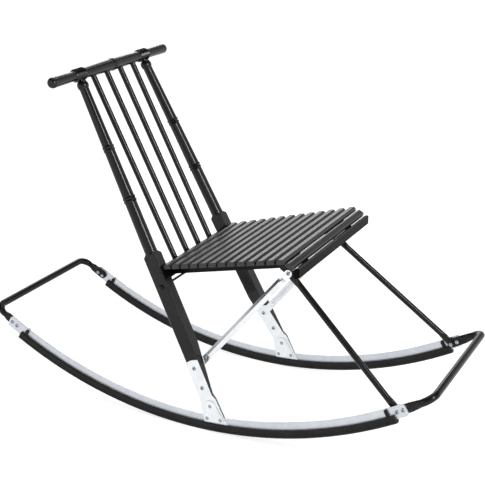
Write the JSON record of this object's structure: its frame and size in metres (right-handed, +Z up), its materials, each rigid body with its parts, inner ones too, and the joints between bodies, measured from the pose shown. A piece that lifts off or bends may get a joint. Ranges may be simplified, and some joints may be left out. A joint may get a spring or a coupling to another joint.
{
  "type": "rocking chair",
  "caption": "Armless rocking chair with turned raked posts that run down as legs, a spindle back, a slatted seat and long bent rockers joined by tubes.",
  "frame": {"origin": "on the floor under the middle of the chair's box", "axes": "+X forward, the way a sitter faces, +Y to the sitter's left, +Z up"},
  "size_m": [1.266, 0.532, 0.886],
  "materials": {
    "lacquered_wood": "satin lacquer",
    "lacquered_slats": "satin lacquer",
    "black_metal": "satin",
    "zinc": "zinc plated",
    "tread_rubber": "matt"
  },
  "bodies": {
    "root": {"crest_rail": "lacquered_wood", "post_left": "lacquered_wood", "post_right": "lacquered_wood", "spindle_1": "lacquered_wood", "spindle_2": "lacquered_wood", "spindle_3": "lacquered_wood", "spindle_4": "lacquered_wood", "seat_rear_rail": "lacquered_wood", "seat_front_rail": "lacquered_wood", "seat_nosing_slat": "lacquered_wood", "seat_side_rail_left": "lacquered_wood", "seat_side_rail_right": "lacquered_wood", "seat_slat_01": "lacquered_slats", "seat_slat_02": "lacquered_slats", "seat_slat_03": "lacquered_slats", "seat_slat_04": "lacquered_slats", "seat_slat_05": "lacquered_slats", "seat_slat_06": "lacquered_slats", "seat_slat_07": "lacquered_slats", "seat_slat_08": "lacquered_slats", "seat_slat_09": "lacquered_slats", "seat_slat_10": "lacquered_slats", "seat_slat_11": "lacquered_slats", "seat_slat_12": "lacquered_slats", "seat_slat_13": "lacquered_slats", "front_bar": "black_metal", "rear_bar": "black_metal", "tie_rod": "black_metal", "tie_rod_nuts": "black_metal", "bracket_screws": "black_metal", "front_stay_left": "black_metal", "front_stay_right": "black_metal", "seat_bracket_left": "black_metal", "seat_bracket_right": "black_metal", "bar_bolts": "zinc", "bar_nuts": "zinc", "seat_bolts": "zinc", "seat_nuts": "zinc", "leg_bolts": "zinc", "shoe_bolts": "zinc", "shoe_rivets": "zinc", "brace_strut_left": "zinc", "shoe_plate_outer_left": "zinc", "shoe_plate_inner_left": "zinc", "rocker_bar_left": "zinc", "brace_strut_right": "zinc", "shoe_plate_outer_right": "zinc", "shoe_plate_inner_right": "zinc", "rocker_bar_right": "zinc", "rocker_tread_left": "tread_rubber", "rocker_tread_right": "tread_rubber", "tread_pins": "tread_rubber"}
  },
  "joints": []
}
